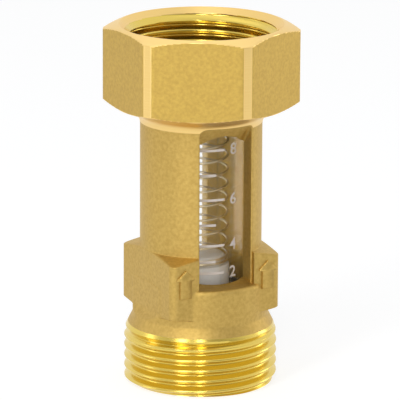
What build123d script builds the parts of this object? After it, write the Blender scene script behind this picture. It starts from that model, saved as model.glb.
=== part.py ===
from build123d import *
import os
from math import cos, radians, sin, tan

# In-line flow meter: a stamped brass housing with a screwed spigot at the inlet, a hexagonal
# screwed socket at the outlet, and a float and spring in a clear tube behind two windows.
# Millimetres, +Z up along the flow, origin at the centre of the inlet end face.
# The front window faces -Y.

# pipe thread, parallel, 3/4 inch: 14 turns to the inch
# both ends are drawn at their crest radius, with no turns cut
thread_major_radius = 13.2205
thread_pitch = 25.4 / 14
thread_depth = 0.640327 * thread_pitch
thread_minor_radius = thread_major_radius - thread_depth

# overall, and how far a cutting shape runs past the surface that it cuts
overall_height = 62.8
overcut = 1.0

# inlet spigot
spigot_length = 8.95
spigot_end_chamfer = 1.2
shoulder_radius = 13.1
shoulder_land = 0.3
neck_cone_length = 2.7
inlet_mouth_radius = 8.6
inlet_mouth_depth = 8.0
flow_bore_radius = 6.9

# lower collar, barrel and block
barrel_radius = 10.42
bore_radius = 8.2
collar_step = 1.33
collar_top_height = 18.55
collar_rim = 0.8
block_side_step = 0.08
block_face_inset = 0.67
block_bottom_height = 13.0
block_height = 11.1
block_corner = 1.3
block_edge = 0.5
block_top_angle = 17.0
block_bottom_angle = 12.0

# flow arrows, one on each side of each window
arrow_offset = 7.9
arrow_relief = 0.35
arrow_height = 4.9
arrow_head_width = 3.2
arrow_shaft_width = 2.2
arrow_head_length = 1.7
arrow_top_gap = 1.75

# windows
window_width = 9.5
window_top_gap = 3.6
window_corner = 2.0

# hexagonal socket end
hex_flats = 30.0
hex_corner_trim = 0.44
hex_height = 14.0
hex_back_angle = 20.0
hex_face_inset = 0.7
hex_face_angle = 21.0
hex_root_fillet = 2.5
socket_depth = 11.8
socket_mouth_rise = 1.0

# clear tube
tube_radius = 8.0
tube_bore_bottom_radius = 5.2
tube_bore_top_radius = 6.2
tube_end_chamfer = 0.3
rib_spread = 25.0
rib_width = 1.0
rib_clearance = 0.12

# seals
seal_groove_depth = 0.75
seal_groove_width = 1.2
lower_seal_rise = 2.0
upper_seal_drop = 1.35
seal_fit = 0.005

# lower seat
seat_shoulder_height = 12.9
seat_thickness = 1.2
seat_fit = 0.12
seat_arm_width = 1.6
seat_hub_radius = 2.6
seat_hub_rise = 0.9
seat_ring_width = 1.2
seat_arms = 3
seat_arm_inset = 0.5

# float
float_radius = 4.93
float_height = 5.75
float_nose_radius = 3.4
float_nose_length = 1.4
spigot_height = 1.6
spigot_chamfer = 0.4
spigot_clearance = 0.25

# spring
spring_wire = 0.42
spring_mean_radius = 4.6
spring_turns = 13.5

# upper retainer and snap ring
retainer_radius = 10.0
retainer_thickness = 1.2
retainer_ring_radius = 7.2
retainer_fit = 0.1
hub_radius = 5.9
hub_wall = 0.75
hub_roof = 0.8
hub_rise = 2.2
hub_hole_radius = 1.6
hub_arms = 4
hub_arm_width = 1.4
hub_arm_bite = 0.5
counterbore_clearance = 0.2
counterbore_depth = 2.4
ring_thickness = 0.8
ring_width = 1.2
ring_bite = 0.55
ring_gap_angle = 34.0
ring_lug_radius = 1.25
ring_lug_hole = 0.5
ring_lug_angle = 6.0
ring_fit = 0.05

# heights and radii that follow from these
collar_radius = barrel_radius + collar_step
block_width = 2 * (barrel_radius + block_side_step)
block_thickness = 2 * (barrel_radius - block_face_inset)
neck_height = spigot_length + shoulder_land + neck_cone_length
socket_floor_height = overall_height - socket_depth
socket_mouth_radius = thread_major_radius + socket_mouth_rise
hex_bottom_height = overall_height - hex_height
hex_face_radius = hex_flats / 2 - hex_face_inset
hex_turned_radius = hex_flats / 2 / cos(radians(30)) - hex_corner_trim
window_top_height = hex_bottom_height - window_top_gap
counterbore_radius = retainer_radius + counterbore_clearance
counterbore_height = socket_floor_height - counterbore_depth
tube_top_height = counterbore_height - retainer_fit
seat_top_height = seat_shoulder_height + seat_thickness
tube_bottom_height = seat_top_height
float_bottom_height = seat_top_height + seat_hub_rise
float_top_height = float_bottom_height + float_height
ring_bottom_height = counterbore_height + retainer_thickness
groove_radius = counterbore_radius + ring_bite
rib_inner_radius = float_radius + rib_clearance
hub_inner_radius = hub_radius - hub_wall
spring_top_height = counterbore_height + hub_rise - hub_roof

os.makedirs("parts", exist_ok=True)

# Spanner block with rounded corners, turned to a cone above and below: added to the housing
with BuildPart() as block:
    top_slope = tan(radians(block_top_angle))
    bottom_slope = tan(radians(block_bottom_angle))
    block_top_height = block_bottom_height + block_height
    with BuildSketch(Plane.XY.offset(block_bottom_height - bottom_slope * barrel_radius)):
        RectangleRounded(block_width, block_thickness, block_corner)
    extrude(amount=block_height + (top_slope + bottom_slope) * barrel_radius)
    with BuildSketch(Plane.XZ):
        with BuildLine():
            Polyline(
                (0, block_bottom_height - bottom_slope * barrel_radius),
                (block_width, block_bottom_height + bottom_slope * (block_width - barrel_radius)),
                (block_width, block_top_height - top_slope * (block_width - barrel_radius)),
                (0, block_top_height + top_slope * barrel_radius),
                close=True,
            )
        make_face()
    revolve(axis=Axis.Z, mode=Mode.INTERSECT)
    fillet(block.faces().filter_by(GeomType.CONE).edges(), block_edge)

# Housing: one stamped and turned piece
with BuildPart() as housing:
    # turned outside, from the spigot end face to the outlet face
    with BuildSketch(Plane.XZ) as turned_sketch:
        back_slope = tan(radians(hex_back_angle))
        face_slope = tan(radians(hex_face_angle))
        root_height = hex_bottom_height - back_slope * (hex_flats / 2 - barrel_radius)
        root_reach = hex_root_fillet * tan(radians((90 - hex_back_angle) / 2))
        flare_radius = barrel_radius + root_reach * cos(radians(hex_back_angle))
        flare_height = root_height + root_reach * sin(radians(hex_back_angle))
        back_height = hex_bottom_height + back_slope * (hex_turned_radius - hex_flats / 2)
        face_height = overall_height - face_slope * (hex_turned_radius - hex_face_radius)
        with BuildLine():
            Polyline(
                (0, 0),
                (thread_major_radius - spigot_end_chamfer, 0),
                (thread_major_radius, spigot_end_chamfer),
                (thread_major_radius, spigot_length),
                (shoulder_radius, spigot_length),
                (shoulder_radius, spigot_length + shoulder_land),
                (collar_radius, neck_height),
                (collar_radius, collar_top_height),
                (barrel_radius, collar_top_height),
                (barrel_radius, root_height - root_reach),
            )
            RadiusArc(
                (barrel_radius, root_height - root_reach),
                (flare_radius, flare_height),
                hex_root_fillet,
            )
            Polyline(
                (flare_radius, flare_height),
                (hex_turned_radius, back_height),
                (hex_turned_radius, face_height),
                (hex_face_radius, overall_height),
                (0, overall_height),
                (0, 0),
            )
        make_face()
    revolve(axis=Axis.Z)

    # flats of the hexagon, with a corner over each window
    with BuildSketch(Plane.XY.offset(hex_bottom_height - overcut)):
        Circle(hex_turned_radius + overcut)
        RegularPolygon(hex_flats / 2, 6, major_radius=False, rotation=30, mode=Mode.SUBTRACT)
    extrude(amount=hex_height + 2 * overcut, mode=Mode.SUBTRACT)

    # rounded rim of the collar: the widest circle at its top
    collar_circles = housing.edges().filter_by(GeomType.CIRCLE).filter_by_position(
        Axis.Z, collar_top_height - 0.01, collar_top_height + 0.01
    )
    fillet(collar_circles.sort_by(SortBy.RADIUS)[-1], collar_rim)

    # collar cut flat on both sides, where the block's faces run through
    with BuildSketch(Plane.XZ):
        cut_reach = collar_radius + overcut
        runout = cut_reach - block_width / 2
        for side in (-1, 1):
            with BuildLine():
                Polyline(
                    (side * block_width / 2, block_bottom_height),
                    (side * cut_reach, block_bottom_height - runout),
                    (side * cut_reach, collar_top_height + overcut),
                    (side * block_width / 2, collar_top_height + overcut),
                    close=True,
                )
            make_face()
    extrude(amount=collar_radius, both=True, mode=Mode.SUBTRACT)

    # spanner block
    add(block.part)

    # raised flow arrows on the front and the back of the block
    arrow_top = block_top_height - arrow_top_gap
    for side in (-1, 1):
        for face in (-1, 1):
            arrow_x = side * arrow_offset
            shaft_half = arrow_shaft_width / 2
            head_half = arrow_head_width / 2
            head_base = arrow_top - arrow_head_length
            face_plane = Plane((0, face * (block_thickness / 2 - arrow_relief), 0), (1, 0, 0), (0, face, 0))
            up = face_plane.y_dir.Z
            with BuildSketch(face_plane):
                with BuildLine():
                    Polyline(
                        (arrow_x, up * arrow_top),
                        (arrow_x + head_half, up * head_base),
                        (arrow_x + shaft_half, up * head_base),
                        (arrow_x + shaft_half, up * (arrow_top - arrow_height)),
                        (arrow_x - shaft_half, up * (arrow_top - arrow_height)),
                        (arrow_x - shaft_half, up * head_base),
                        (arrow_x - head_half, up * head_base),
                        close=True,
                    )
                make_face()
            extrude(amount=2 * arrow_relief)

    # windows, cut straight through front and back
    with BuildSketch(Plane.XZ):
        with BuildLine():
            Polyline(
                (-window_width / 2, window_top_height - window_corner),
                (-window_width / 2, collar_top_height),
                (window_width / 2, collar_top_height),
                (window_width / 2, window_top_height - window_corner),
            )
            RadiusArc(
                (window_width / 2, window_top_height - window_corner),
                (window_width / 2 - window_corner, window_top_height),
                -window_corner,
            )
            Line(
                (window_width / 2 - window_corner, window_top_height),
                (-window_width / 2 + window_corner, window_top_height),
            )
            RadiusArc(
                (-window_width / 2 + window_corner, window_top_height),
                (-window_width / 2, window_top_height - window_corner),
                -window_corner,
            )
        make_face()
    extrude(amount=collar_radius + overcut, both=True, mode=Mode.SUBTRACT)

    # bored inside: inlet mouth, flow bore, tube bore, retainer seat, ring groove, socket
    with BuildSketch(Plane.XZ):
        with BuildLine():
            Polyline(
                (0, 0),
                (inlet_mouth_radius, 0),
                (inlet_mouth_radius, inlet_mouth_depth),
                (flow_bore_radius, inlet_mouth_depth + inlet_mouth_radius - flow_bore_radius),
                (flow_bore_radius, seat_shoulder_height),
                (bore_radius, seat_shoulder_height),
                (bore_radius, counterbore_height),
                (counterbore_radius, counterbore_height),
                (counterbore_radius, ring_bottom_height),
                (groove_radius, ring_bottom_height),
                (groove_radius, ring_bottom_height + ring_thickness + ring_fit),
                (counterbore_radius, ring_bottom_height + ring_thickness + ring_fit),
                (counterbore_radius, socket_floor_height),
                (thread_minor_radius, socket_floor_height),
                (thread_minor_radius, overall_height - socket_mouth_radius + thread_minor_radius),
                (socket_mouth_radius, overall_height),
                (0, overall_height),
                close=True,
            )
        make_face()
    revolve(axis=Axis.Z, mode=Mode.SUBTRACT)
housing.part.label = "housing"
export_step(housing.part, "parts/housing.step")

# Sight tube: clear, bored with a taper, with guide ribs for the float
with BuildPart() as sight_tube:
    with BuildSketch(Plane.XZ):
        lower_seal_height = tube_bottom_height + lower_seal_rise
        upper_seal_height = tube_top_height - upper_seal_drop
        groove_bottom = tube_radius - seal_groove_depth
        with BuildLine():
            Polyline(
                (tube_bore_bottom_radius, tube_bottom_height),
                (tube_radius - tube_end_chamfer, tube_bottom_height),
                (tube_radius, tube_bottom_height + tube_end_chamfer),
                (tube_radius, lower_seal_height - seal_groove_width / 2),
                (groove_bottom, lower_seal_height - seal_groove_width / 2),
                (groove_bottom, lower_seal_height + seal_groove_width / 2),
                (tube_radius, lower_seal_height + seal_groove_width / 2),
                (tube_radius, upper_seal_height - seal_groove_width / 2),
                (groove_bottom, upper_seal_height - seal_groove_width / 2),
                (groove_bottom, upper_seal_height + seal_groove_width / 2),
                (tube_radius, upper_seal_height + seal_groove_width / 2),
                (tube_radius, tube_top_height - tube_end_chamfer),
                (tube_radius - tube_end_chamfer, tube_top_height),
                (tube_bore_top_radius, tube_top_height),
                close=True,
            )
        make_face()
    revolve(axis=Axis.Z)
    rib_depth = (tube_bore_bottom_radius + tube_radius) / 2 - rib_inner_radius
    with BuildSketch(Plane.XY.offset(tube_bottom_height)):
        for rib_angle in (-rib_spread, rib_spread, 180 - rib_spread, 180 + rib_spread):
            with Locations(Rotation(0, 0, rib_angle) * Pos(rib_inner_radius + rib_depth / 2, 0, 0)):
                Rectangle(rib_depth, rib_width)
    extrude(amount=tube_top_height - tube_bottom_height)
sight_tube.part.label = "sight_tube"
export_step(sight_tube.part, "parts/sight_tube.step")

# Seals: a ring in each groove of the tube, just touching the bore, its section drawn with eight sides
seal_outer_radius = bore_radius - seal_fit
seal_inner_radius = groove_bottom + seal_fit
seal_section = (seal_outer_radius - seal_inner_radius) / 2
with BuildPart() as lower_seal:
    with BuildSketch(Plane.XZ):
        with Locations((seal_inner_radius + seal_section, lower_seal_height)):
            RegularPolygon(seal_section, 8, major_radius=False, rotation=22.5)
    revolve(axis=Axis.Z)
lower_seal.part.label = "lower_seal"
export_step(lower_seal.part, "parts/lower_seal.step")

with BuildPart() as upper_seal:
    with BuildSketch(Plane.XZ):
        with Locations((seal_inner_radius + seal_section, upper_seal_height)):
            RegularPolygon(seal_section, 8, major_radius=False, rotation=22.5)
    revolve(axis=Axis.Z)
upper_seal.part.label = "upper_seal"
export_step(upper_seal.part, "parts/upper_seal.step")

# Lower seat: a spoked ring on the bore's shoulder, with a hub that the float rests on
with BuildPart() as lower_seat:
    seat_radius = bore_radius - seat_fit
    seat_opening_radius = flow_bore_radius - 2 * seat_fit - seat_ring_width
    with BuildSketch(Plane.XY.offset(seat_shoulder_height)):
        Circle(seat_radius)
        Circle(seat_opening_radius, mode=Mode.SUBTRACT)
        Circle(seat_hub_radius)
        with PolarLocations(0, seat_arms):
            with Locations((seat_radius / 2, 0)):
                Rectangle(seat_radius - 2 * seat_arm_inset, seat_arm_width)
    extrude(amount=seat_thickness)
    with BuildSketch(Plane.XY.offset(seat_top_height)):
        Circle(seat_hub_radius)
    extrude(amount=seat_hub_rise)
lower_seat.part.label = "lower_seat"
export_step(lower_seat.part, "parts/lower_seat.step")

# Float: a solid piston with a blunt nose and a spigot that centres the spring
with BuildPart() as float_piece:
    with BuildSketch(Plane.XZ):
        spigot_radius = spring_mean_radius - spring_wire / 2 - spigot_clearance
        with BuildLine():
            Polyline(
                (0, float_bottom_height),
                (float_nose_radius, float_bottom_height),
                (float_radius, float_bottom_height + float_nose_length),
                (float_radius, float_top_height),
                (spigot_radius, float_top_height),
                (spigot_radius, float_top_height + spigot_height - spigot_chamfer),
                (spigot_radius - spigot_chamfer, float_top_height + spigot_height),
                (0, float_top_height + spigot_height),
                close=True,
            )
        make_face()
    revolve(axis=Axis.Z)
float_piece.part.label = "float"
export_step(float_piece.part, "parts/float.step")

# Return spring, from the float's rim to the roof of the retainer's hub: round wire, drawn with six sides
with BuildPart() as return_spring:
    spring_bottom_height = float_top_height + spring_wire / 2
    spring_length = spring_top_height - float_top_height - spring_wire
    with BuildLine():
        Helix(spring_length / spring_turns, spring_length, spring_mean_radius, (0, 0, spring_bottom_height))
    with BuildSketch(Plane((spring_mean_radius, 0, spring_bottom_height), (1, 0, 0), (0, -1, 0))):
        RegularPolygon(spring_wire / 2, 6)
    sweep(is_frenet=True)
return_spring.part.label = "return_spring"
export_step(return_spring.part, "parts/return_spring.step")

# Upper retainer: a ring on the tube's end with an arched hub that holds the spring
with BuildPart() as upper_retainer:
    arm_end = retainer_ring_radius + hub_arm_bite
    with BuildSketch(Plane.XY.offset(counterbore_height)):
        Circle(retainer_radius)
        Circle(retainer_ring_radius, mode=Mode.SUBTRACT)
    extrude(amount=retainer_thickness)
    with BuildSketch(Plane.XY.offset(counterbore_height)):
        Circle(hub_radius)
        with PolarLocations(0, hub_arms):
            with Locations(((hub_inner_radius + arm_end) / 2, 0)):
                Rectangle(arm_end - hub_inner_radius, hub_arm_width)
        Circle(hub_inner_radius, mode=Mode.SUBTRACT)
    extrude(amount=retainer_thickness)
    with BuildSketch(Plane.XY.offset(counterbore_height)):
        Circle(hub_radius)
        Circle(hub_inner_radius, mode=Mode.SUBTRACT)
    extrude(amount=hub_rise)
    with BuildSketch(Plane.XY.offset(spring_top_height)):
        Circle(hub_radius)
        Circle(hub_hole_radius, mode=Mode.SUBTRACT)
    extrude(amount=hub_roof)
upper_retainer.part.label = "upper_retainer"
export_step(upper_retainer.part, "parts/upper_retainer.step")

# Snap ring: open ring sprung into its groove, with a lug and a hole at each end
with BuildPart() as snap_ring:
    ring_outer_radius = groove_radius - ring_fit
    lug_radius = ring_outer_radius - ring_bite - ring_lug_radius
    lug_angle = ring_gap_angle / 2 + ring_lug_angle
    with BuildSketch(Plane.XY.offset(ring_bottom_height)):
        Circle(ring_outer_radius)
        Circle(ring_outer_radius - ring_width, mode=Mode.SUBTRACT)
        with BuildLine():
            gap_reach = 2 * ring_outer_radius
            gap_half = radians(ring_gap_angle / 2)
            Polyline(
                (0, 0),
                (gap_reach * cos(gap_half), gap_reach * sin(gap_half)),
                (gap_reach * cos(gap_half), -gap_reach * sin(gap_half)),
                close=True,
            )
        make_face(mode=Mode.SUBTRACT)
        with PolarLocations(lug_radius, 2, start_angle=-lug_angle, angular_range=2 * lug_angle, endpoint=True):
            Circle(ring_lug_radius)
            Circle(ring_lug_hole, mode=Mode.SUBTRACT)
    extrude(amount=ring_thickness)
snap_ring.part.label = "snap_ring"
export_step(snap_ring.part, "parts/snap_ring.step")
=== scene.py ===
import math

import bmesh
import bpy
import numpy as np
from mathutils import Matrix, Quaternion, Vector


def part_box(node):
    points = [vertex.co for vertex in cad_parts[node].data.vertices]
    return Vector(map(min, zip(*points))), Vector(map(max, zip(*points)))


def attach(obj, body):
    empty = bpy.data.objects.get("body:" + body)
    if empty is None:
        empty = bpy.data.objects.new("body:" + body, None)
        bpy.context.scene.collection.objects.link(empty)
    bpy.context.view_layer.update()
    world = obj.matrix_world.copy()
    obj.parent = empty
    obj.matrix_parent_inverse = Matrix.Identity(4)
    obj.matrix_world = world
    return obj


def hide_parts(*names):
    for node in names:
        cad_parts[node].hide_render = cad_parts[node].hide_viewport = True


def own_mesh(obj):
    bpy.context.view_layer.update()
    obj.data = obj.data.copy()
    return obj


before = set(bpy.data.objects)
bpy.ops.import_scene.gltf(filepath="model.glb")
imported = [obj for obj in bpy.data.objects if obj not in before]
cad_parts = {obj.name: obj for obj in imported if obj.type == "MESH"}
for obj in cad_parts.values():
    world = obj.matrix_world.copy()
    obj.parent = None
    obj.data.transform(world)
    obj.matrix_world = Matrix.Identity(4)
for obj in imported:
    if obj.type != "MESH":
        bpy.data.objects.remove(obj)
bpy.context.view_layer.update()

mm = 0.001
housingLow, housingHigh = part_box("housing")
tubeLow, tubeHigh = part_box("sight_tube")
springLow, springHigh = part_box("return_spring")
print("frame loaded,", len(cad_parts), "nodes")

# lengths of the pieces are in millimetres and become metres when a mesh is made


# surfaces as arrays of points

def smoothMax(a, b, width):
    # the larger of two values, with a parabola of that width over the crossing
    share = np.clip(0.5 + 0.5 * (a - b) / width, 0, 1)
    return b + (a - b) * share + width * share * (1 - share)


def smoothMin(a, b, width):
    # the smaller of two values, with the same parabola
    return -smoothMax(-a, -b, width)


def smoothStep(x, low, high):
    # 0 under low and 1 over high, with 3 t squared less 2 t cubed between them
    t = np.clip((x - low) / (high - low), 0, 1)
    return t * t * (3 - 2 * t)


def roundedPath(corners, arcSteps):
    # straight runs joined by arcs: each corner is (r, z, radius), and its arc touches both runs
    points = []
    last = len(corners) - 1
    for i, (r, z, radius) in enumerate(corners):
        here = np.array([r, z], float)
        if i in (0, last) or radius == 0:
            points.append(here)
            continue
        back = np.array(corners[i - 1][:2]) - here
        ahead = np.array(corners[i + 1][:2]) - here
        back /= np.linalg.norm(back)
        ahead /= np.linalg.norm(ahead)
        half = math.acos(np.clip(back @ ahead, -1, 1)) / 2
        middle = back + ahead
        centre = here + middle / np.linalg.norm(middle) * radius / math.sin(half)
        reach = radius / math.tan(half)
        first, final = here + back * reach - centre, here + ahead * reach - centre
        sweep = math.pi - 2 * half
        for k in range(arcSteps + 1):
            share = k / arcSteps
            mix = math.sin((1 - share) * sweep) * first + math.sin(share * sweep) * final
            points.append(centre + mix / math.sin(sweep))
    return np.array(points)


def refine(path, heights):
    # the same path with a point added wherever it passes one of the heights
    out = [path[0]]
    for a, b in zip(path[:-1], path[1:]):
        low, high = min(a[1], b[1]), max(a[1], b[1])
        inside = sorted((h for h in heights if low < h < high), reverse=a[1] > b[1])
        out += [a + (b - a) * (h - a[1]) / (b[1] - a[1]) for h in inside]
        out.append(b)
    return np.array(out)


def gridFaces(rows, columns, closeRows=False, closeColumns=False):
    # quads of a grid of rows by columns points, each way open or closed on itself
    quadRows, quadColumns = rows - (not closeRows), columns - (not closeColumns)
    i, j = np.meshgrid(np.arange(quadRows), np.arange(quadColumns), indexing="ij")
    a, b = i * columns, (i + 1) % rows * columns
    c, d = j, (j + 1) % columns
    return np.stack([a + c, a + d, b + d, b + c], -1).reshape(-1, 4)


def turned(radii, heights, angles):
    # x = r cos(angle), y = r sin(angle), z = height, for a grid of rows by angles
    shape = np.broadcast(radii, heights, angles).shape
    radii, heights, angles = (np.broadcast_to(a, shape) for a in (radii, heights, angles))
    return np.stack([radii * np.cos(angles), radii * np.sin(angles), heights], -1)


# arrays to meshes

def addObject(name, data):
    piece = bpy.data.objects.new(name, data)
    bpy.context.scene.collection.objects.link(piece)
    return piece


def cleanMesh(mesh, merge):
    # doubles merged, slivers dissolved, and a shell whose volume is negative turned the right way out
    work = bmesh.new()
    work.from_mesh(mesh)
    bmesh.ops.remove_doubles(work, verts=work.verts, dist=merge * mm)
    bmesh.ops.dissolve_degenerate(work, edges=work.edges, dist=1e-7)
    if work.calc_volume(signed=True) < 0:
        bmesh.ops.reverse_faces(work, faces=work.faces)
    work.to_mesh(mesh)
    work.free()


def closeEnds(mesh):
    # each open rim gets one face, and all faces are turned outwards
    work = bmesh.new()
    work.from_mesh(mesh)
    bmesh.ops.holes_fill(work, edges=[e for e in work.edges if e.is_boundary], sides=0)
    bmesh.ops.recalc_face_normals(work, faces=work.faces)
    work.to_mesh(mesh)
    work.free()


def makeMesh(name, parts, materials, smoothAngle=30.0, merge=0.002):
    # parts are (points in mm, quads, material number for each quad); they become one mesh
    points, faces, finishes, start = [], [], [], 0
    for part in parts:
        points.append(part[0].reshape(-1, 3))
        faces.append(part[1] + start)
        finishes.append(np.broadcast_to(part[2], len(part[1])))
        start += len(points[-1])
    points, faces, finishes = np.concatenate(points) * mm, np.concatenate(faces), np.concatenate(finishes)
    mesh = bpy.data.meshes.new(name)
    mesh.from_pydata(points, [], faces.tolist())
    for material in materials:
        mesh.materials.append(material)
    mesh.polygons.foreach_set("material_index", finishes.astype(np.int32))
    cleanMesh(mesh, merge)
    mesh.polygons.foreach_set("use_smooth", np.ones(len(mesh.polygons), bool))
    mesh.set_sharp_from_angle(angle=math.radians(smoothAngle))
    return addObject(name, mesh)


# the housing

body = {
    "height": housingHigh.z / mm,
    "columns": 240,
    "threadRadius": 13.2205,        # over the crests
    "threadPitch": 25.4 / 14,
    "threadDepth": 1.1617,
    "crestRound": 0.1,
    "firstCrest": 1.7,
    "runOut": (8.3, 0.5, 10.3),     # where the groove begins to rise, how steeply, and where it is gone
    "runOutRound": (0.6, 0.15),     # where its floor begins to rise, and where the floor meets the thread
    "spigotNose": 12.5,             # radius of the end face
    "shoulder": (13.1, 8.95, 9.25),  # radius, lower and upper edge of the land over the thread
    "shoulderRound": 0.4,
    "collar": (11.75, 11.95, 18.55),  # radius, lower and upper edge
    "collarRounds": (0.9, 0.8, 0.2),  # foot, rim and the fillet to the barrel
    "collarFall": 0.08,             # of its upper face from the barrel to the rim
    "barrelRadius": 10.5,
    "boreRadius": 8.2,
    "blockHalf": (10.5, 9.75),      # along X and along Y
    "blockSpan": (13.0, 24.1),      # heights of its cones where they reach the barrel
    "blockAngles": (12.0, 17.0),    # degrees, slope of the lower and upper cone
    "blockCorner": 1.3,
    "blockRounds": (0.45, 0.5, 0.3),  # sides to cones, cone to cone, and the fillet to the barrel
    "flatRunOut": (0.3, 0.8),       # how far over the block's foot the collar's flats end, and how softly
    "flatRound": 0.25,
    "hexFlat": housingHigh.x / mm,  # half the size across flats
    "hexTurned": housingHigh.y / mm,
    "hexBottom": 48.8,
    "hexBackAngle": 20.0,
    "hexFaceAngle": 21.0,
    "hexFace": 14.3,
    "hexRounds": (2.5, 0.12, 0.15),  # root to the barrel, edges of the corners, edge of the face
    "brightNeck": 3.2,              # how far under the hexagon the barrel is turned bright
    "mouth": 14.2,                  # radius at the outlet face
    "socketFloor": 51.0,
    "socketFade": (0.9, 2.2),       # heights over the floor where its thread ends and where it is full
    "firstRoot": 1.45,              # depth of the socket's first root
    "counterbore": (10.2, 48.6),    # radius, height of its floor
    "groove": (10.75, 49.8, 50.65),  # radius, lower and upper edge
    "seatShoulder": (6.9, 12.9),    # radius of the hole in it, height
    "inletMouth": (8.6, 8.0),       # radius, depth
    "boredRounds": (0.1, 0.2, 0.25, 0.3),  # sharp corners, the bore's lead-in, rims, the inlet's cone
}

# numbers of the finishes in the housing's list of materials; the last is the blasted skin painted lit on
# the hexagon's flats
asBlasted, asTurned, asThread, asDrilled, asPaintedLitFlat = range(5)


def threadWave(phase):
    # 1 at a crest and 0.05 at a root: the mean of a cosine wave and of straight flanks between parabolas
    t = np.abs((phase + 0.5) % 1 - 0.5)
    crest, flank, root = 1 - 9 * t**2, 1.25 - 3 * t, 9 * (0.5 - t) ** 2
    flanked = np.where(t < 1 / 6, crest, np.where(t < 1 / 3, flank, root))
    return 0.5 * flanked + 0.5 * (0.55 + 0.45 * np.cos(2 * math.pi * t))


def threadRows(angles, low, high, start):
    # rows that climb with the helix, 14 to a pitch, held between the two ends
    pitch = body["threadPitch"]
    steps = np.array([
        0, 0.055, 0.11, 1 / 6, 1 / 3, 0.39, 0.445,
        0.5, 0.555, 0.61, 2 / 3, 5 / 6, 0.89, 0.945,
    ])
    first, last = math.floor((low - start) / pitch) - 1, math.ceil((high - start) / pitch)
    phases = np.concatenate([n + steps for n in range(first, last + 1)])
    heights = start + pitch * (phases[:, None] + angles / (2 * math.pi))
    heights = np.clip(heights, low, high)
    wave = threadWave((heights - start) / pitch - angles / (2 * math.pi))
    keep = (heights.max(1) > low) & (heights.min(1) < high)
    keep[max(np.argmax(keep) - 1, 0)] = True
    keep[min(len(keep) - np.argmax(keep[::-1]), len(keep) - 1)] = True
    return heights[keep], wave[keep]


def hexRadius(angles):
    # distance to a flat divided by the cosine of the angle from its middle
    away = (angles + math.pi / 6) % (math.pi / 3) - math.pi / 6
    return body["hexFlat"] / np.cos(away)


def blockRadius(angles, heights):
    # a rectangle with round corners, seen from its centre along each angle, under one cone and over another
    halfX, halfY = body["blockHalf"]
    corner = body["blockCorner"]
    cosine, sine = np.abs(np.cos(angles)), np.abs(np.sin(angles))
    straight = np.minimum(halfX / np.maximum(cosine, 1e-6), halfY / np.maximum(sine, 1e-6))
    centreX, centreY = halfX - corner, halfY - corner
    along = cosine * centreX + sine * centreY
    root = along**2 - centreX**2 - centreY**2 + corner**2
    curved = along + np.sqrt(np.maximum(root, 0))
    onCorner = (root > 0) & (curved * cosine > centreX) & (curved * sine > centreY)
    outline = np.where(onCorner, curved, straight)
    low, high = body["blockSpan"]
    lowSlope, highSlope = (math.tan(math.radians(angle)) for angle in body["blockAngles"])
    upper = body["barrelRadius"] + (high - heights) / highSlope
    lower = body["barrelRadius"] + (heights - low) / lowSlope
    edgeRound, coneRound, _ = body["blockRounds"]
    return smoothMin(outline, smoothMin(upper, lower, coneRound), edgeRound)


def collarFlat(angles, heights):
    # distance to the flats at +X and -X, which run out at 45 degrees under the block
    rise, width = body["flatRunOut"]
    reach = body["blockHalf"][0] + smoothMax(body["blockSpan"][0] + rise - heights, 0, width)
    return reach / np.maximum(np.abs(np.cos(angles)), 0.3)


def coneRadius(heights):
    # the radius of the land over the thread, then falling evenly to the collar's
    shoulder, _, shoulderHigh = body["shoulder"]
    collar, collarLow, _ = body["collar"]
    slope = (shoulder - collar) / (collarLow - shoulderHigh)
    return shoulder - slope * smoothMax(heights - shoulderHigh, 0, body["shoulderRound"])


def housingColumns():
    # even columns, more of them round the block's corners, and one on each edge of the hexagon's corners
    cornerAngle = math.atan2(body["blockHalf"][1], body["blockHalf"][0])
    nearCorner = cornerAngle + np.radians(np.arange(-6, 6.5, 0.6))
    quarters = ((0, 1), (math.pi, -1), (math.pi, 1), (2 * math.pi, -1))
    angles = np.unique(np.concatenate([
        np.linspace(0, 2 * math.pi, body["columns"] + 1),
        *(start + side * nearCorner for start, side in quarters),
    ]).round(7))
    bandHalf = math.acos(body["hexFlat"] / body["hexTurned"])
    for k in range(6):
        for side in (-1, 1):  # the nearest column moves onto the edge
            edge = (k * math.pi / 3 + side * bandHalf) % (2 * math.pi)
            angles[np.argmin(np.abs(angles - edge))] = edge
    return angles


def spigotSurface(angles):
    # root plus depth times the wave, under the nose's 45 degree chamfer and under the cone; the groove's
    # floor rises evenly over the last turn, so it runs out in the cone
    runStart, runSlope, runEnd = body["runOut"]
    riseRound, floorRound = body["runOutRound"]
    crest, depth = body["threadRadius"], body["threadDepth"]
    root = crest - depth
    heights, wave = threadRows(angles, 0, runEnd, body["firstCrest"])
    cone = coneRadius(heights)
    floor = root + runSlope * smoothMax(heights - runStart, 0, riseRound)
    radii = smoothMax(root + depth * wave, floor, floorRound)
    radii = np.minimum(radii, body["spigotNose"] + heights)
    limit = np.where(heights > body["shoulder"][1] - 1, cone, crest + 1)  # no limit lower down
    radii = smoothMin(radii, limit, body["crestRound"])
    lastRow = heights > runEnd - 0.02
    return np.where(lastRow, cone, radii), heights


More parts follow.
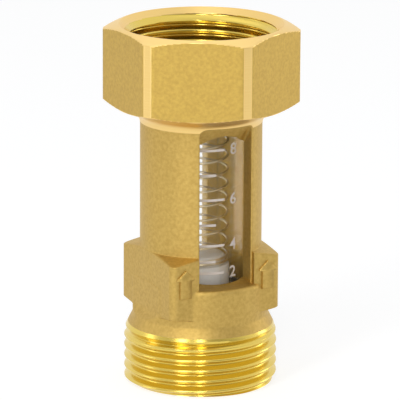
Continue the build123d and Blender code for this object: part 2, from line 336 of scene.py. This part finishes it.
def outerSurface(angles):
    # a turned outline from the cone to the outlet face: the smaller of it and the collar's flats, the
    # larger of that and the block, and over the neck the smaller of that and the hexagon
    height, barrel = body["height"], body["barrelRadius"]
    collar, collarLow, collarHigh = body["collar"]
    collarFoot, collarRim, collarFillet = body["collarRounds"]
    blockLow, blockHigh = body["blockSpan"]
    flat, corner, face, hexBottom = body["hexFlat"], body["hexTurned"], body["hexFace"], body["hexBottom"]
    rootRound, cornerRound, faceRound = body["hexRounds"]
    backSlope = math.tan(math.radians(body["hexBackAngle"]))
    faceSlope = math.tan(math.radians(body["hexFaceAngle"]))
    coneTop = body["runOut"][2]
    outline = roundedPath([
        (coneRadius(coneTop), coneTop, 0),
        (collar, collarLow, collarFoot),
        (collar, collarHigh - body["collarFall"], collarRim),
        (barrel, collarHigh, collarFillet),
        (barrel, hexBottom - backSlope * (flat - barrel), rootRound),
        (corner, hexBottom + backSlope * (corner - flat), cornerRound),
        (corner, height - faceSlope * (corner - face), cornerRound),
        (face, height, faceRound),
        (body["mouth"], height, 0),
    ], 6)
    # rows lie close together where the cones and the chamfers cross the sides, and wide apart between
    outline = refine(outline, np.concatenate([
        np.arange(blockLow - 0.9, blockLow + 1.4, 0.08),
        np.arange(blockLow + 1.8, blockHigh - 2.2, 0.9),
        np.arange(blockHigh - 2.0, blockHigh + 0.3, 0.06),
        np.arange(24.0, 44.0, 2.5),
        hexBottom + np.linspace(0, 0.68, 7),
        [52.0, 55.5, 59.0],
        height - np.linspace(0.96, 0.02, 9),
    ]))
    outR, outZ = outline[:, :1], outline[:, 1:]
    # the rows that each form can reach, with some to spare
    overCollar = (outZ > collarLow - 1.0) & (outZ < blockHigh)
    inBlock = (outZ > blockLow - 1.2) & (outZ < blockHigh + 0.5)
    inHex = outZ > hexBottom - 0.6
    radii = np.where(overCollar, smoothMin(outR, collarFlat(angles, outZ), body["flatRound"]), outR)
    block = blockRadius(angles, outZ)
    radii = np.where(inBlock, smoothMax(block, radii, body["blockRounds"][2]), radii)
    radii = np.where(inHex, np.minimum(radii, hexRadius(angles)), radii)
    return radii, outZ + 0 * radii


def outerFinish(radii, heights, angles):
    # blasted under the neck and turned over it; the quads that lie on a flat of the hexagon get the blasted
    # skin painted lit
    onFlat = np.abs(radii - hexRadius(angles)) < 1e-4
    staysOn = np.roll(onFlat, -1, axis=1) & np.roll(onFlat, -1, axis=0)
    neck = body["hexBottom"] - body["brightNeck"]
    return np.where(onFlat & staysOn, asPaintedLitFlat, np.where(heights > neck, asTurned, asBlasted))


def socketSurface(angles):
    # root plus depth times the wave, faded out over the socket's floor and cut by the mouth's 45 degree
    # chamfer, from the mouth down
    height, depth = body["height"], body["threadDepth"]
    root = body["threadRadius"] - depth
    threadEnd, threadFull = (body["socketFloor"] + rise for rise in body["socketFade"])
    heights, wave = threadRows(angles, threadEnd, height, height - body["firstRoot"])
    fade = smoothStep(heights, threadEnd, threadFull)
    radii = np.maximum(root + depth * wave * fade, body["mouth"] - (height - heights))
    return radii[::-1], heights[::-1]


def innerSurface(angles):
    # bored inside, the same at every angle, from the socket's floor to the spigot's end face
    root, floor = body["threadRadius"] - body["threadDepth"], body["socketFloor"]
    ringGroove, grooveLow, grooveHigh = body["groove"]
    counterbore, counterFloor = body["counterbore"]
    seat, seatHeight = body["seatShoulder"]
    inlet, inletHeight = body["inletMouth"]
    sharp, leadIn, rim, inletCone = body["boredRounds"]
    path = roundedPath([
        (root, floor + body["socketFade"][0], 0),
        (root, floor, rim),
        (counterbore, floor, sharp),
        (counterbore, grooveHigh, 0),
        (ringGroove, grooveHigh, 0),
        (ringGroove, grooveLow, 0),
        (counterbore, grooveLow, 0),
        (counterbore, counterFloor, sharp),
        (body["boreRadius"], counterFloor, leadIn),
        (body["boreRadius"], seatHeight, sharp),
        (seat, seatHeight, sharp),
        (seat, inletHeight + inlet - seat, inletCone),
        (inlet, inletHeight, inletCone),
        (inlet, 0, rim),
        (body["spigotNose"] - 0.7, 0, 0),
    ], 4)
    path = refine(path, np.arange(14.0, 46.0, 2.0))
    return path[:, :1] + 0 * angles, path[:, 1:] + 0 * angles


def makeHousing(finishes):
    # one closed skin of r and z over the angle: spigot, outside, socket and bore joined end to end
    angles = housingColumns()
    spigot, outer = spigotSurface(angles), outerSurface(angles)
    socket, inner = socketSurface(angles), innerSurface(angles)
    radii, heights = (np.concatenate(part) for part in zip(spigot, outer, socket, inner))
    inMouth = body["height"] - socket[1] < body["mouth"] - body["threadRadius"]
    numbers = np.concatenate([
        np.full(spigot[0].shape, asThread),
        outerFinish(*outer, angles),
        np.where(inMouth, asTurned, asThread),
        np.full(inner[0].shape, asDrilled),
    ])
    points, faces = turned(radii, heights, angles), gridFaces(*radii.shape, closeRows=True)
    housing = makeMesh("housing_skin", [(points, faces, numbers[:, :-1].reshape(-1))], finishes)
    cutWindows(housing, finishes[asBlasted])
    addArrows(housing)
    return housing


window = {
    "half": 4.75,                   # at the bore, where the sides are narrowest
    "sideSlope": 0.09,              # how fast each side draws back on the way out
    "topSlope": 1.35,               # how fast the top comes down on the way in
    "sillSlope": 0.3,               # how fast the sill rises on the way in
    "bottom": 18.5,                 # at the barrel, as the top is
    "top": 46.2,
    "corner": 1.0,
    "lip": 0.3,
}


def windowOutline():
    # left foot, left side, top with two quarter rounds, right side: x, z and the outward lip direction
    half, low, high, corner = window["half"], window["bottom"], window["top"], window["corner"]
    turn = np.linspace(0, math.pi / 2, 7)
    rightX, rightZ = half - corner + corner * np.cos(turn), high - corner + corner * np.sin(turn)
    x = np.concatenate([[half], rightX, -rightX[::-1], [-half]])
    z = np.concatenate([[low], rightZ, rightZ[::-1], [low]])
    outX = np.concatenate([[1], np.cos(turn), -np.cos(turn)[::-1], [-1]])
    outZ = np.concatenate([[0], np.sin(turn), np.sin(turn)[::-1], [0]])
    return x, z, outX, outZ


def cutWindows(housing, skin):
    # one cutter through front and back: the outline carried along Y, flared by a quarter round at the
    # barrel, with its sides, top and sill moved in proportion to the distance from the barrel or the bore
    x, z, outX, outZ = windowOutline()
    barrel, lip = body["barrelRadius"], window["lip"]
    upShare = (z - window["bottom"]) / (window["top"] - window["bottom"])
    levels = [(body["boreRadius"] - 0.5, 0)]  # distance from the axis, and growth of the outline there
    for share in (0, 0.25, 0.5, 0.75, 0.93, 1):
        levels.append((barrel - lip + lip * share, lip * (1 - math.sqrt(1 - share**2))))
    rings = []
    for distance, grow in levels:
        grow = grow + window["sideSlope"] * (distance - body["boreRadius"])
        depth = max(barrel - lip - distance, 0)
        drop, rise = window["topSlope"] * depth, window["sillSlope"] * depth
        ringX = x + outX * grow
        ringZ = z + outZ * grow - drop * upShare + rise * (1 - upShare)
        rings.append(np.stack([ringX, np.sqrt(distance**2 - ringX**2), ringZ], -1))
    far = rings[-1].copy()
    far[:, 0] *= 1 + window["sideSlope"] * (body["hexTurned"] - barrel) / window["half"]
    far[:, 1] = body["hexTurned"] + 2
    rings.append(far)
    half = np.array(rings)
    grid = np.concatenate([(half * [1, -1, 1])[::-1], half])
    faces = gridFaces(*grid.shape[:2], closeColumns=True)
    cutter = makeMesh("windowCutter", [(grid, faces, 0)], [skin])
    closeEnds(cutter.data)
    cut = housing.modifiers.new("windows", "BOOLEAN")
    cut.object, cut.operation, cut.solver = cutter, "DIFFERENCE", "EXACT"
    bpy.context.view_layer.update()
    graph = bpy.context.evaluated_depsgraph_get()
    result = bpy.data.meshes.new_from_object(housing.evaluated_get(graph))
    housing.modifiers.clear()
    housing.data = result
    bpy.data.objects.remove(cutter)
    result.set_sharp_from_angle(angle=math.radians(30))


arrow = {
    "x": 7.9,
    "top": 22.35,
    "height": 4.9,
    "head": 3.2,
    "headLength": 1.7,
    "barb": 0.3,                    # height of the head's upright sides
    "shaft": 2.2,
    "relief": 0.35,
}


def addArrows(housing):
    # raised arrows on the block's front and back: one outline carried outwards, drawn in at its top edge
    head, shaft, top = arrow["head"] / 2, arrow["shaft"] / 2, arrow["top"]
    base, foot = top - arrow["headLength"], top - arrow["height"]
    barb, middle = base + arrow["barb"], (top + foot) / 2
    outlineX = np.array([0, head, head, shaft, shaft, -shaft, -shaft, -head, -head])
    outlineZ = np.array([top, barb, base, base, foot, foot, base, base, barb])
    # height over the block's face and growth of the outline: sunk, at the face, at the side, on top
    levels = ((-0.4, 0.05), (0.0, 0.05), (arrow["relief"] * 0.7, 0.0), (arrow["relief"], -0.12))
    parts = []
    for side in (-1, 1):
        for face in (-1, 1):
            rings = []
            for rise, grow in levels:
                rings.append(np.stack([
                    side * arrow["x"] + outlineX * (1 + grow / head),
                    np.full(len(outlineX), face * (body["blockHalf"][1] + rise)),
                    middle + (outlineZ - middle) * (1 + grow / (top - middle)),
                ], -1))
            parts.append((np.array(rings), gridFaces(len(levels), len(outlineX), closeColumns=True), 0))
    arrows = makeMesh("arrows", parts, [housing.data.materials[0]], smoothAngle=40)
    closeEnds(arrows.data)
    both = {"selected_editable_objects": [housing, arrows], "selected_objects": [housing, arrows]}
    with bpy.context.temp_override(active_object=housing, **both):
        bpy.ops.object.join()


# the sight tube and its scale

tube = {
    "radius": tubeHigh.x / mm,
    "bottom": tubeLow.z / mm,
    "top": tubeHigh.z / mm,
    "columns": 192,
    "boreBottom": 5.2,
    "boreTop": 6.2,
    "grooveRadius": 7.25,
    "grooveWidth": 1.2,
    "grooves": (16.1, 47.15),
    "endChamfer": 0.3,
    "rounds": (0.05, 0.1),          # sharp and eased edges
    "ribAngles": (-25, 25, 155, 205),
    "ribRadius": 5.05,
    "ribWidth": 1.0,
}


def makeTube(clear):
    # a turned outline with two grooves and a bore that tapers evenly; where a rib stands, r is the rib's
    # radius over the cosine of the angle from its middle, which makes its face flat
    radius, low, high = tube["radius"], tube["bottom"], tube["top"]
    chamfer, groove, halfWidth = tube["endChamfer"], tube["grooveRadius"], tube["grooveWidth"] / 2
    sharp, eased = tube["rounds"]
    angles = np.linspace(0, 2 * math.pi, tube["columns"] + 1)
    outer = [(tube["boreBottom"], low, 0), (radius - chamfer, low, sharp), (radius, low + chamfer, eased)]
    for middle in tube["grooves"]:
        outer += [
            (radius, middle - halfWidth, sharp), (groove, middle - halfWidth, eased),
            (groove, middle + halfWidth, eased), (radius, middle + halfWidth, sharp),
        ]
    outer += [(radius, high - chamfer, eased), (radius - chamfer, high, sharp), (tube["boreTop"], high, 0)]
    outer = refine(roundedPath(outer, 4), np.arange(low + 4, high - 2, 2.0))
    boreR = np.linspace(tube["boreTop"], tube["boreBottom"], 14)[1:-1, None]
    boreZ = np.linspace(high, low, 14)[1:-1, None]
    for middle in np.radians(tube["ribAngles"]):
        away = (angles - middle + math.pi) % (2 * math.pi) - math.pi
        rib = np.abs(away) < math.asin(tube["ribWidth"] / 2 / tube["ribRadius"])
        boreR = np.where(rib, tube["ribRadius"] / np.cos(np.where(rib, away, 0)), boreR)
    radii = np.concatenate([outer[:, :1] + 0 * angles, boreR])
    heights = np.concatenate([outer[:, 1:], boreZ])
    points, faces = turned(radii, heights, angles), gridFaces(*radii.shape, closeRows=True)
    return makeMesh("sight_tube_clear", [(points, faces, 0)], [clear])


scale = {
    "marks": {8: 42.3, 7: 37.95, 6: 33.6, 5: 29.2, 4: 25.55, 3: 22.7, 2: 20.7},  # litres a minute: height
    "windowAngle": -90.0,
    "start": -29.5,                 # degrees from the window's middle, as the two ends and the figures
    "longEnd": 3.0,
    "shortEnd": -8.5,
    "line": 0.42,
    "figureAngle": 16.0,
    "figureHeight": 2.0,
    "figureWidth": 1.35,
    "ink": (0.004, 0.02),           # its lower and upper side, over the tube
}


def wrapOnTube(flat, angle, height):
    # x runs round the tube, y up it and z out of it
    turn = np.radians(scale["windowAngle"] + angle) + flat[:, 0] / tube["radius"]
    radius = tube["radius"] + flat[:, 2]
    return np.stack([radius * np.cos(turn), radius * np.sin(turn), height + flat[:, 1]], -1)


def makeTicks(ink):
    # each mark is a thin rectangle carried round the tube at its height
    low, high = (tube["radius"] + rise for rise in scale["ink"])
    half = scale["line"] / 2
    parts = []
    for value, height in scale["marks"].items():
        end = scale["longEnd"] if value % 2 == 0 else scale["shortEnd"]
        turn = np.radians(scale["windowAngle"] + np.linspace(scale["start"], end, 25))
        section = [(low, -half), (high, -half), (high, half), (low, half)]
        rings = np.stack([turned(r, height + dz, turn) for r, dz in section], 1)
        parts.append((rings, gridFaces(*rings.shape[:2], closeColumns=True), 0))
    ticks = makeMesh("scale_marks", parts, [ink], merge=0.0005)
    closeEnds(ticks.data)
    return ticks


def makeFigures(ink):
    # figures from Blender's own font, made a mesh, sized and bent round the tube
    inkLow, inkHigh = scale["ink"]
    figures = []
    for value, height in scale["marks"].items():
        if value % 2:
            continue
        letter = bpy.data.curves.new(f"figure{value}", "FONT")
        letter.body, letter.align_x, letter.align_y = str(value), "CENTER", "CENTER"
        letter.extrude, letter.offset = 0.5, 0.012  # the offset makes the strokes bolder
        holder = addObject("holder", letter)
        bpy.context.view_layer.update()
        mesh = bpy.data.meshes.new_from_object(holder.evaluated_get(bpy.context.evaluated_depsgraph_get()))
        bpy.data.objects.remove(holder)
        flat = np.zeros(len(mesh.vertices) * 3)
        mesh.vertices.foreach_get("co", flat)
        flat = flat.reshape(-1, 3)
        low, high = flat.min(0), flat.max(0)
        flat = (flat - (low + high) / 2) / (high - low)
        flat *= [scale["figureWidth"], scale["figureHeight"], inkHigh - inkLow]
        flat[:, 2] += (inkLow + inkHigh) / 2
        placed = wrapOnTube(flat, scale["figureAngle"], height) * mm
        mesh.vertices.foreach_set("co", placed.astype(np.float32).ravel())
        mesh.materials.clear()
        mesh.materials.append(ink)
        mesh.name = f"scale_figure_{value}"
        figures.append(addObject(mesh.name, mesh))
    return figures


# the spring and the float

spring = {
    "bottom": springLow.z / mm,
    "top": springHigh.z / mm,
    "radius": 4.6,
    "wire": 0.42,
    "turns": 13.5,
    "closedTurns": (1.7, 0.8),      # close-wound at the float and at the retainer
    "closing": 0.4,                 # turns on each side of those over which the pitch changes
    "travel": 21.3,
}


def makeSpring(steelPaintedReflection):
    # a circle carried along a helix that climbs one wire a turn where it is close-wound, and more between
    turns, wire, closing = spring["turns"], spring["wire"], spring["closing"]
    closedLow, closedHigh = spring["closedTurns"]
    along = np.linspace(0, 1, round(turns * 40) + 1)
    low, high = spring["bottom"] + wire / 2, spring["top"] - wire / 2
    rate = smoothStep(along * turns, closedLow - closing, closedLow + closing)
    rate *= smoothStep((1 - along) * turns, closedHigh - closing, closedHigh + closing)
    free = high - low - wire * turns
    climb = np.concatenate([[0], np.cumsum((rate[1:] + rate[:-1]) / 2)])
    heights = low + wire * turns * along + free * climb / climb[-1]
    turn = along * turns * 2 * math.pi
    around = np.linspace(0, 2 * math.pi, 13)[:-1]
    radii = spring["radius"] + wire / 2 * np.cos(around)
    levels = heights[:, None] + wire / 2 * np.sin(around)
    points, faces = turned(radii, levels, turn[:, None]), gridFaces(*levels.shape, closeColumns=True)
    coil = makeMesh("return_spring_wire", [(points, faces, 0)], [steelPaintedReflection], merge=0.0001)
    closeEnds(coil.data)
    return coil


floatShape = {
    "nose": 3.4,                    # radius of its flat end
    "noseLength": 1.4,
    "spigot": 4.14,
    "spigotHeight": 1.6,
    "rounds": (0.5, 0.3, 0.1),      # nose and spigot's top, rim, spigot's foot
}


def makeFloat(grey):
    # a turned outline as large as the frame's float: a piston with a blunt nose, and a spigot that holds
    # the spring's first turns
    floatLow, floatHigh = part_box("float")
    low, high, radius = floatLow.z / mm, floatHigh.z / mm, floatHigh.x / mm
    rim, spigot = high - floatShape["spigotHeight"], floatShape["spigot"]
    soft, rimRound, footRound = floatShape["rounds"]
    path = roundedPath([
        (0, low, 0),
        (floatShape["nose"], low, soft),
        (radius, low + floatShape["noseLength"], soft),
        (radius, rim, rimRound),
        (spigot, rim, footRound),
        (spigot, high, soft),
        (0, high, 0),
    ], 5)
    angles = np.linspace(0, 2 * math.pi, 97)
    points, faces = turned(path[:, :1], path[:, 1:], angles), gridFaces(len(path), len(angles))
    return makeMesh("float_piston", [(points, faces, 0)], [grey])


# finishes, with their grains in millimetres

def linear(code):
    # sRGB hex to linear: above a small toe, ((c + 0.055) / 1.055) to the power 2.4
    parts = [int(code[i:i + 2], 16) / 255 for i in (0, 2, 4)]
    return (*[c / 12.92 if c <= 0.04045 else ((c + 0.055) / 1.055) ** 2.4 for c in parts], 1)


def addNode(tree, kind, settings=None, values=None, links=None):
    node = tree.nodes.new(kind)
    for name, value in (settings or {}).items():
        setattr(node, name, value)
    for name, value in (values or {}).items():
        node.inputs[name].default_value = value
    for name, source in (links or {}).items():
        tree.links.new(source, node.inputs[name])
    return node


def newMaterial(name, values):
    # also returns the Object coordinates, which every pattern here is laid on
    material = bpy.data.materials.new(name)
    material.use_nodes = True
    tree = material.node_tree
    shader = tree.nodes["Principled BSDF"]
    for socket, value in values.items():
        shader.inputs[socket].default_value = value
    place = addNode(tree, "ShaderNodeTexCoord").outputs["Object"]
    return material, tree, shader, place


# a Mix node's two colours are its inputs 6 and 7, and its mixed colour is its output 2

def blastedBrass(name, darker, lighter):
    # stamping brass after shot blasting: a matt, fine-pitted skin, pale gold, slightly mottled;
    # the pits of fine shot are too small to show, so they are drawn coarser, 0.28 mm across
    material, tree, shader, place = newMaterial(name, {"Metallic": 1.0, "Roughness": 0.5})
    pits = addNode(tree, "ShaderNodeTexNoise",
                   values={"Scale": 1 / (0.28 * mm), "Detail": 3.0, "Roughness": 0.6},
                   links={"Vector": place})
    patches = addNode(tree, "ShaderNodeTexNoise",
                      values={"Scale": 1 / (0.55 * mm), "Detail": 3.0},
                      links={"Vector": place})
    spread = addNode(tree, "ShaderNodeMapRange",
                     values={"From Min": 0.33, "From Max": 0.67},
                     links={"Value": patches.outputs[0]})
    colour = addNode(tree, "ShaderNodeMix", {"data_type": "RGBA"},
                     values={6: linear(darker), 7: linear(lighter)},
                     links={0: spread.outputs[0]})
    rough = addNode(tree, "ShaderNodeMapRange",
                    values={"To Min": 0.44, "To Max": 0.6},
                    links={"Value": pits.outputs[0]})
    bump = addNode(tree, "ShaderNodeBump",
                   values={"Strength": 0.8, "Distance": 0.04 * mm},
                   links={"Height": pits.outputs[0]})
    tree.links.new(colour.outputs[2], shader.inputs["Base Color"])
    tree.links.new(rough.outputs[0], shader.inputs["Roughness"])
    tree.links.new(bump.outputs[0], shader.inputs["Normal"])
    return material


def turnedBrass(name, darker, lighter, roughness, feed):
    # brass straight from the lathe: bright, with the tool's fine feed lines round the axis, drawn as noise
    # along one coordinate, the distance from the axis plus the height
    material, tree, shader, place = newMaterial(name, {"Metallic": 1.0, "Roughness": roughness})
    split = addNode(tree, "ShaderNodeSeparateXYZ", links={"Vector": place})
    flat = addNode(tree, "ShaderNodeVectorMath", {"operation": "MULTIPLY"},
                   values={1: (1, 1, 0)}, links={0: place})
    reach = addNode(tree, "ShaderNodeVectorMath", {"operation": "LENGTH"}, links={0: flat.outputs[0]})
    feedPath = addNode(tree, "ShaderNodeMath", {"operation": "ADD"},
                       links={0: reach.outputs["Value"], 1: split.outputs["Z"]})
    lines = addNode(tree, "ShaderNodeMath", {"operation": "MULTIPLY"},
                    values={1: 1 / (feed * mm)}, links={0: feedPath.outputs[0]})
    noise = addNode(tree, "ShaderNodeTexNoise", {"noise_dimensions": "1D"},
                    values={"Scale": 1.0, "Detail": 2.0}, links={"W": lines.outputs[0]})
    colour = addNode(tree, "ShaderNodeMix", {"data_type": "RGBA"},
                     values={6: linear(darker), 7: linear(lighter)}, links={0: noise.outputs[0]})
    bump = addNode(tree, "ShaderNodeBump",
                   values={"Strength": 0.25, "Distance": 0.01 * mm}, links={"Height": noise.outputs[0]})
    tree.links.new(colour.outputs[2], shader.inputs["Base Color"])
    tree.links.new(bump.outputs[0], shader.inputs["Normal"])
    return material


def mouldedPlastic(name, code, roughness, grain):
    # injection-moulded part: even colour, a faint eggshell from the tool; it also does for rubber and ink
    material, tree, shader, place = newMaterial(name, {"Roughness": roughness, "IOR": 1.49})
    darker = linear(code)
    lighter = (*[min(c * 1.12 + 0.004, 1) for c in darker[:3]], 1)
    skin = addNode(tree, "ShaderNodeTexNoise",
                   values={"Scale": 1 / (grain * mm), "Detail": 2.0}, links={"Vector": place})
    tone = addNode(tree, "ShaderNodeMix", {"data_type": "RGBA"},
                   values={6: darker, 7: lighter}, links={0: skin.outputs[0]})
    bump = addNode(tree, "ShaderNodeBump",
                   values={"Strength": 0.2, "Distance": 0.02 * mm}, links={"Height": skin.outputs[0]})
    tree.links.new(tone.outputs[2], shader.inputs["Base Color"])
    tree.links.new(bump.outputs[0], shader.inputs["Normal"])
    return material


def clearTubePlastic():
    # polished clear tube: much of it is plain see-through, the rest bends and mirrors light as the wall
    # does, with the faint unevenness of a drawn wall, 9 mm from wave to wave
    material, tree, shader, place = newMaterial("clear tube", {
        "Base Color": linear("f4f5f2"),
        "Transmission Weight": 1.0,
        "Roughness": 0.02,
        "IOR": 1.47,
        "Alpha": 0.14,
    })
    wave = addNode(tree, "ShaderNodeTexNoise",
                   values={"Scale": 1 / (9 * mm), "Detail": 1.0}, links={"Vector": place})
    bump = addNode(tree, "ShaderNodeBump",
                   values={"Strength": 0.05, "Distance": 0.05 * mm}, links={"Height": wave.outputs[0]})
    tree.links.new(bump.outputs[0], shader.inputs["Normal"])
    return material


def springSteel():
    # drawn stainless wire: bright, slightly uneven in tone, as its drawing marks are too fine to see
    # singly; its tan base colour is a painted reflection of the brass round it
    values = {"Metallic": 1.0, "Roughness": 0.28}
    material, tree, shader, place = newMaterial("drawn stainless wire", values)
    noise = addNode(tree, "ShaderNodeTexNoise",
                    values={"Scale": 1 / (0.6 * mm), "Detail": 2.0}, links={"Vector": place})
    # tan colours: a painted reflection of the brass round the wire, over its own uneven tone
    tone = addNode(tree, "ShaderNodeMix", {"data_type": "RGBA"},
                   values={6: linear("d2c09c"), 7: linear("e4d6b8")}, links={0: noise.outputs[0]})
    tree.links.new(tone.outputs[2], shader.inputs["Base Color"])
    return material


# darker and lighter colour of each brass finish, and of the painted-lit flats; the turned ones then have
# roughness and the tool's feed
brass = {
    "blasted": ("bc9d55", "caab61"),
    # the flats are the blasted skin again, painted warmer and lighter for the light that falls on the
    # hexagon
    "flats": ("c0a053", "cdad5a"),
    "turned": ("eec97a", "f5d58d", 0.38, 0.18),
    "thread": ("ddc25b", "e6cb68", 0.22, 0.1),
    # the bore's drilled finish, its colour lightened: painted light in the bore behind the tube
    "drilledPaintedLighter": ("e6c167", "f0cf7c", 0.5, 0.12),
}

# in the order of asBlasted, asTurned, asThread, asDrilled and asPaintedLitFlat
housingFinishes = [
    blastedBrass("blasted stamping brass", *brass["blasted"]),
    turnedBrass("turned brass", *brass["turned"]),
    turnedBrass("threaded brass", *brass["thread"]),
    # drilled finish of the bore, painted lighter
    turnedBrass("bore brass painted lighter", *brass["drilledPaintedLighter"]),
    # the blasted skin once more, with the painted-lit colours of the hexagon's flats
    blastedBrass("stamped flats of brass", *brass["flats"]),
]
clear = clearTubePlastic()
ink = mouldedPlastic("white printing ink", "c4bab2", 0.5, 0.4)
greyFloat = mouldedPlastic("grey moulded float", "e2dfda", 0.45, 0.3)
blackSeat = mouldedPlastic("black moulded plastic", "1b1b1c", 0.5, 0.3)
sealRubber = mouldedPlastic("seal rubber", "151515", 0.7, 0.2)
steelPaintedReflection = springSteel()
print("materials made")

housing = makeHousing(housingFinishes)
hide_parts("housing")
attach(housing, "housing")
print("housing made:", len(housing.data.polygons), "faces")

sightTube = makeTube(clear)
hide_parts("sight_tube")
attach(sightTube, "housing")
sightTube.visible_shadow = False    # lets the lamps light what stands in the tube

for piece in [makeTicks(ink), *makeFigures(ink)]:
    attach(piece, "housing")
print("tube and scale made")

coil = makeSpring(steelPaintedReflection)
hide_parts("return_spring")
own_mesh(coil)
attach(coil, "housing")
print("spring made")

piston = makeFloat(greyFloat)
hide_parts("float")
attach(piston, "float")
print("float made")

# the snap ring takes the same steel, with its painted brass reflection
nodeFinishes = {
    "lower_seat": blackSeat, "upper_retainer": blackSeat,
    "lower_seal": sealRubber, "upper_seal": sealRubber, "snap_ring": steelPaintedReflection,
}
for name, material in nodeFinishes.items():
    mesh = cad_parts[name].data
    mesh.materials.clear()
    mesh.materials.append(material)
print("solids finished")


# floor, light and camera, with their lengths in metres and angles in degrees

view = {
    "azimuth": -27.5,               # from -Y, positive towards +X, as for the lamps
    "elevation": 14.48,
    "roll": 0.288,
    "distance": 0.7,
    "aim": (0, 0, 0.03),
    "frame": 400.0,                 # pixels, as the focal length and the shift
    "focal": 4059.4,
    "shift": (-0.81, 9.59),
}

studio = {
    "sky": (0.9, 0.92, 0.95, 1),
    "skyStrength": 0.55,
    "roomDark": 0.6,                # how much darker than the backdrop the room in front is in reflections
    "roomEdge": 0.8,                # share of the direction towards the front from which it is that dark
    "floorSize": 1.5,
    "floorWhite": 0.85,
    "floorGlow": 0.765,
    "floorLit": 0.31,
    "lampDistance": 0.6,
}

lamps = {                           # azimuth, elevation, width, height, power
    "front strip": (-27.5, 30, 0.045, 1.0, 1.3),
    "left box": (-58, 30, 0.12, 0.8, 1.5),
    "far left box": (-112, 10, 0.15, 0.3, 0.22),
    "right box": (85, 8, 0.15, 0.25, 0.3),
    "top box": (160, 62, 0.4, 0.4, 0.15),
}


def direction(azimuth, elevation):
    # x = sin(azimuth) cos(elevation), y = -cos(azimuth) cos(elevation), z = sin(elevation)
    a, e = math.radians(azimuth), math.radians(elevation)
    return Vector((math.sin(a) * math.cos(e), -math.cos(a) * math.cos(e), math.sin(e)))


def seenDirectly(tree):
    # 1 for camera, glossy and transmission rays, which see things white, and 0 for the light that they give
    path = addNode(tree, "ShaderNodeLightPath")
    first = addNode(tree, "ShaderNodeMath", {"operation": "MAXIMUM"},
                    links={0: path.outputs["Is Camera Ray"], 1: path.outputs["Is Glossy Ray"]})
    every = addNode(tree, "ShaderNodeMath", {"operation": "MAXIMUM"},
                    links={0: first.outputs[0], 1: path.outputs["Is Transmission Ray"]})
    return every.outputs[0]


def makeWorld():
    # white backdrop all round; in reflections the room in front of the part is dimmer than the backdrop:
    # its strength falls evenly from 1 as the direction turns towards the front
    world = bpy.data.worlds.new("studio")
    bpy.context.scene.world = world
    world.use_nodes = True
    tree = world.node_tree
    tree.nodes.clear()
    place = addNode(tree, "ShaderNodeTexCoord").outputs["Generated"]
    glossy = addNode(tree, "ShaderNodeLightPath").outputs["Is Glossy Ray"]
    towards = addNode(tree, "ShaderNodeVectorMath", {"operation": "DOT_PRODUCT"},
                      values={1: direction(view["azimuth"], 0)}, links={0: place})
    room = addNode(tree, "ShaderNodeMapRange",
                   values={"From Min": 0.0, "From Max": studio["roomEdge"],
                           "To Min": 0.0, "To Max": studio["roomDark"]},
                   links={"Value": towards.outputs["Value"]})
    dim = addNode(tree, "ShaderNodeMath", {"operation": "MULTIPLY"}, links={0: room.outputs[0], 1: glossy})
    strength = addNode(tree, "ShaderNodeMath", {"operation": "SUBTRACT"},
                       values={0: 1.0}, links={1: dim.outputs[0]})
    plain = addNode(tree, "ShaderNodeBackground",
                    values={"Color": studio["sky"], "Strength": studio["skyStrength"]})
    white = addNode(tree, "ShaderNodeBackground",
                    values={"Color": (1, 1, 1, 1)}, links={"Strength": strength.outputs[0]})
    mix = addNode(tree, "ShaderNodeMixShader",
                  links={0: seenDirectly(tree), 1: plain.outputs[0], 2: white.outputs[0]})
    addNode(tree, "ShaderNodeOutputWorld", links={"Surface": mix.outputs[0]})


def makeFloor():
    # a white sweep: seen directly it is mostly white by itself, and the lit share on top carries the shadow
    mesh = bpy.data.meshes.new("floor")
    size, base, share = studio["floorSize"], studio["floorWhite"], studio["floorLit"]
    corners = [(-size, -size, 0), (size, -size, 0), (size, size, 0), (-size, size, 0)]
    mesh.from_pydata(corners, [], [(0, 1, 2, 3)])
    floor = addObject("floor", mesh)
    floor.location.z = -0.0001
    material = bpy.data.materials.new("white sweep")
    material.use_nodes = True
    tree = material.node_tree
    tree.nodes.clear()
    plain = addNode(tree, "ShaderNodeBsdfDiffuse", values={"Color": (base, base, base, 1)})
    glow = addNode(tree, "ShaderNodeEmission",
                   values={"Color": (1, 1, 1, 1), "Strength": studio["floorGlow"]})
    lit = addNode(tree, "ShaderNodeBsdfDiffuse", values={"Color": (share, share, share, 1)})
    both = addNode(tree, "ShaderNodeAddShader", links={0: glow.outputs[0], 1: lit.outputs[0]})
    mix = addNode(tree, "ShaderNodeMixShader",
                  links={0: seenDirectly(tree), 1: plain.outputs[0], 2: both.outputs[0]})
    addNode(tree, "ShaderNodeOutputMaterial", links={"Surface": mix.outputs[0]})
    mesh.materials.append(material)


def makeLamp(name, azimuth, elevation, width, height, power):
    # a soft box that faces the part's middle from the given side
    data = bpy.data.lights.new(name, "AREA")
    data.shape, data.size, data.size_y, data.energy = "RECTANGLE", width, height, power
    lamp = addObject(name, data)
    back = direction(azimuth, elevation)
    lamp.location = Vector(view["aim"]) + back * studio["lampDistance"]
    lamp.rotation_mode = "QUATERNION"
    lamp.rotation_quaternion = back.to_track_quat("Z", "Y")


def makeCamera():
    # as in the photograph, whose camera was fitted to the edges of the part
    data = bpy.data.cameras.new("camera")
    data.sensor_width = 36.0
    data.lens = view["focal"] / view["frame"] * data.sensor_width
    data.shift_x, data.shift_y = (pixels / view["frame"] for pixels in view["shift"])
    data.clip_start, data.clip_end = 0.01, 10
    camera = addObject("camera", data)
    back = direction(view["azimuth"], view["elevation"])
    camera.location = Vector(view["aim"]) + back * view["distance"]
    camera.rotation_mode = "QUATERNION"
    roll = Quaternion((0, 0, 1), math.radians(view["roll"]))
    camera.rotation_quaternion = back.to_track_quat("Z", "Y") @ roll
    bpy.context.scene.camera = camera


makeWorld()
makeFloor()
for name, values in lamps.items():
    makeLamp(name, *values)
makeCamera()
bpy.context.scene.view_settings.view_transform = "Standard"
print("floor, light and camera made")
